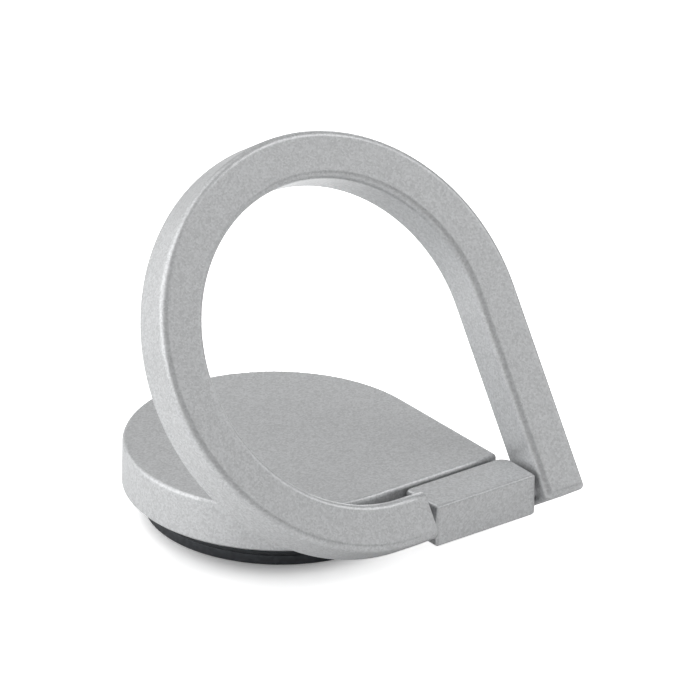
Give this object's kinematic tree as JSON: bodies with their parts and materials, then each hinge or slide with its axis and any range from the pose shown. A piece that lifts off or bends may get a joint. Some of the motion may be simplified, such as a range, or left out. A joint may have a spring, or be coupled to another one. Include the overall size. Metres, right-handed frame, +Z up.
{
  "type": "phone ring holder",
  "caption": "Teardrop phone grip and stand: a flat finger ring hinged at the straight edge of a teardrop plate that swivels on a round adhesive disc.",
  "frame": {"origin": "centre of the adhesive pad's underside, on the swivel axis", "axes": "+Z up out of the pad along the swivel axis, +X along the hinge line towards the ring's pointed corner, +Y from the hinge across the plate"},
  "size_m": [0.04, 0.0355, 0.0375],
  "materials": {
    "silver_metal": "fine satin silver",
    "pin_steel": "plain ground steel",
    "disc_plastic": "matt black",
    "washer_nylon": "natural nylon",
    "pad_foam": "matt black foam"
  },
  "bodies": {
    "mount": {"adhesive_pad": "pad_foam", "swivel_disc": "disc_plastic"},
    "base": {"base_plate": "silver_metal", "swivel_rivet": "pin_steel", "friction_washer": "washer_nylon"},
    "ring": {"finger_ring": "silver_metal", "hinge_pin": "pin_steel"}
  },
  "joints": [
    {"name": "base_swivel", "type": "hinge", "parent": "mount", "child": "base", "pos_m": [0, 0, 0], "axis": [0, 0, 1], "continuous": true},
    {"name": "ring_hinge", "type": "hinge", "parent": "base", "child": "ring", "pos_m": [0, -0.0184, 0.0046], "axis": [1, 0, 0], "range_deg": [-56.2, 123.8]}
  ]
}
